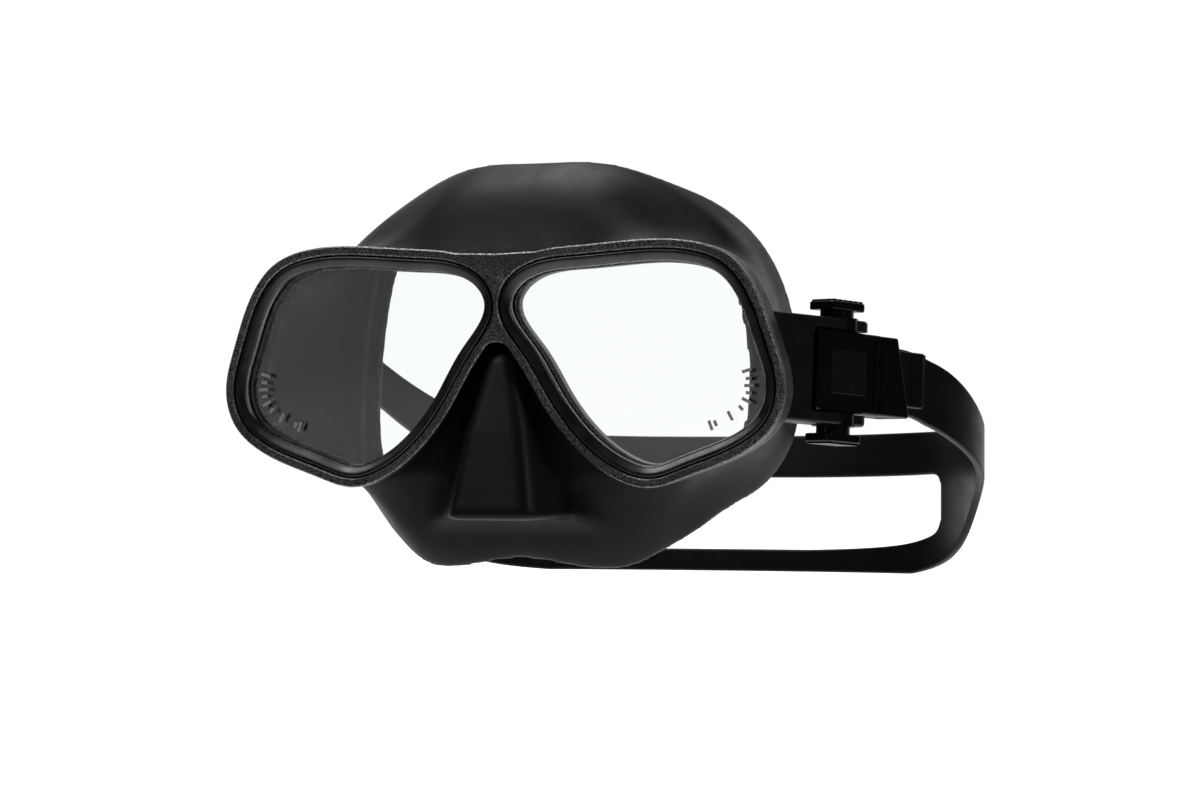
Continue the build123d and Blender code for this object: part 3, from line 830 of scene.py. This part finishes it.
def tail_ribs(hand, side):
    """Fine upright ribs that give a grip on the strap's end."""
    points, faces = [], []
    steps = 7
    for i in range(TAIL_RIBS):
        y = 27.2 + 0.85 * i
        for z in (-TAIL_HALF + 0.5, TAIL_HALF - 0.5):
            for turn in np.linspace(0, pi, steps):
                x = TAIL_OFFSET + STRAP_T / 2 - 0.15 + 0.32 * sin(turn)
                points.append(buckle_point(x, y + 0.2 + 0.24 * cos(turn), z))
        a = i * 2 * steps
        faces += [(a + k, a + k + 1, a + steps + k + 1, a + steps + k)
                  for k in range(steps - 1)]
        faces.append((a, a + steps - 1, a + 2 * steps - 1, a + steps))
        faces += [tuple(range(a, a + steps)), tuple(range(a + steps, a + 2 * steps))]
    points = np.array(points) * [side, 1, 1]
    return add_mesh(f"strap_ribs_{hand}", set_down(points), faces, MATERIALS["strap"],
                    radians(50))


for hand, side in (("left", 1), ("right", -1)):
    for piece in (strap_half(hand, side), tail_ribs(hand, side)):
        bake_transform(piece)
        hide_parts("strap")


# ---- floor, light and camera ------------------------------------------------------
FLOOR_GLOW = 0.95


def studio_floor():
    m = Nodes("floor_white", Specular_IOR_Level=0.1)
    m.colours(m.noise(3, 2.0), [(0.3, grey(0.9)), (0.7, grey(0.92))])
    m.rough(m.noise(5, 2.0), 0.75, 0.85)
    m.shader.inputs["Emission Color"].default_value = (1, 1, 1, 1)
    m.shader.inputs["Emission Strength"].default_value = FLOOR_GLOW
    mesh = bpy.data.meshes.new("floor")
    half, drop = 12.0, -0.0002
    mesh.from_pydata([(-half, -half, drop), (half, -half, drop), (half, half, drop),
                      (-half, half, drop)], [], [(0, 1, 2, 3)])
    mesh.materials.append(m.material)
    floor = bpy.data.objects.new("floor", mesh)
    bpy.context.scene.collection.objects.link(floor)
    # the floor is white to the eye, but the mask isn't lit from below by it
    floor.visible_diffuse = floor.visible_glossy = False


def studio_world():
    """White to the eye; to reflections, brightest behind the mask."""
    world = bpy.data.worlds.new("studio")
    bpy.context.scene.world = world
    world.use_nodes = True
    tree = world.node_tree
    tree.nodes.clear()

    def add(kind, **settings):
        node = tree.nodes.new(kind)
        for key, value in settings.items():
            setattr(node, key, value)
        return node

    out = add("ShaderNodeOutputWorld")
    mix = add("ShaderNodeMixShader")
    seen, cast = add("ShaderNodeBackground"), add("ShaderNodeBackground")
    seen.inputs["Color"].default_value = (1, 1, 1, 1)
    seen.inputs["Strength"].default_value = 1.02
    path = add("ShaderNodeLightPath")
    either = add("ShaderNodeMath", operation="MAXIMUM")
    tree.links.new(path.outputs["Is Camera Ray"], either.inputs[0])
    tree.links.new(path.outputs["Is Transmission Ray"], either.inputs[1])
    tree.links.new(either.outputs[0], mix.inputs["Fac"])
    tree.links.new(cast.outputs[0], mix.inputs[1])
    tree.links.new(seen.outputs[0], mix.inputs[2])
    tree.links.new(mix.outputs[0], out.inputs["Surface"])
    place = add("ShaderNodeTexCoord")
    dot = add("ShaderNodeVectorMath", operation="DOT_PRODUCT")
    tree.links.new(place.outputs["Generated"], dot.inputs[0])
    dot.inputs[1].default_value = (-sin(CAMERA_AZIMUTH), cos(CAMERA_AZIMUTH), 0)
    ramp = add("ShaderNodeMapRange", interpolation_type="SMOOTHSTEP")
    for key, value in (("From Min", 0.35), ("From Max", 1.0),
                       ("To Min", 0.035), ("To Max", 0.9)):
        ramp.inputs[key].default_value = value
    tree.links.new(dot.outputs["Value"], ramp.inputs["Value"])
    split = add("ShaderNodeSeparateXYZ")
    tree.links.new(place.outputs["Generated"], split.inputs[0])
    below = add("ShaderNodeMapRange", interpolation_type="SMOOTHSTEP")
    for key, value in (("From Min", -0.1), ("From Max", -0.85),
                       ("To Min", 0), ("To Max", 0.85)):
        below.inputs[key].default_value = value
    tree.links.new(split.outputs["Z"], below.inputs["Value"])
    both = add("ShaderNodeMath", operation="ADD")
    tree.links.new(ramp.outputs["Result"], both.inputs[0])
    tree.links.new(below.outputs["Result"], both.inputs[1])
    tree.links.new(both.outputs[0], cast.inputs["Strength"])


def softbox(name, place, aim, size, power):
    light = bpy.data.lights.new(name, "AREA")
    light.shape = "RECTANGLE"
    light.size, light.size_y = size
    light.energy = power
    lamp = bpy.data.objects.new(name, light)
    lamp.location = place
    lamp.rotation_mode = "QUATERNION"
    lamp.rotation_quaternion = (Vector(place) - Vector(aim)).to_track_quat("Z", "Y")
    bpy.context.scene.collection.objects.link(lamp)


def studio_camera():
    a, e = CAMERA_AZIMUTH, CAMERA_ELEVATION
    right = Vector((cos(a), sin(a), 0))
    back = Vector((sin(a) * cos(e), -cos(a) * cos(e), sin(e)))
    up = back.cross(right)
    c, s = cos(CAMERA_ROLL), sin(CAMERA_ROLL)
    bridge = Vector((0, -DEPTH_CENTRE, GROUND_DROP))
    place = (bridge + CAMERA_DISTANCE * back + CAMERA_RIGHT * right + CAMERA_UP * up) * MM
    right, up = c * right + s * up, c * up - s * right
    data = bpy.data.cameras.new("camera")
    data.lens, data.sensor_width = CAMERA_LENS, CAMERA_SENSOR
    data.clip_start, data.clip_end = 0.01, 100
    camera = bpy.data.objects.new("camera", data)
    camera.matrix_world = Matrix((
        (right.x, up.x, back.x, place.x), (right.y, up.y, back.y, place.y),
        (right.z, up.z, back.z, place.z), (0, 0, 0, 1)))
    bpy.context.scene.collection.objects.link(camera)
    bpy.context.scene.camera = camera


studio_floor()
studio_world()
middle = (0, -0.04, 0.06)
softbox("top_light", (-0.35, 0.1, 1.3), middle, (0.9, 0.7), 6.5)
softbox("key_light", (-0.75, -1.15, 1.0), middle, (0.6, 0.6), 3.2)
softbox("side_light", (1.3, -0.5, 0.7), middle, (0.25, 0.9), 1.5)
studio_camera()
bpy.context.scene.view_settings.view_transform = "Standard"
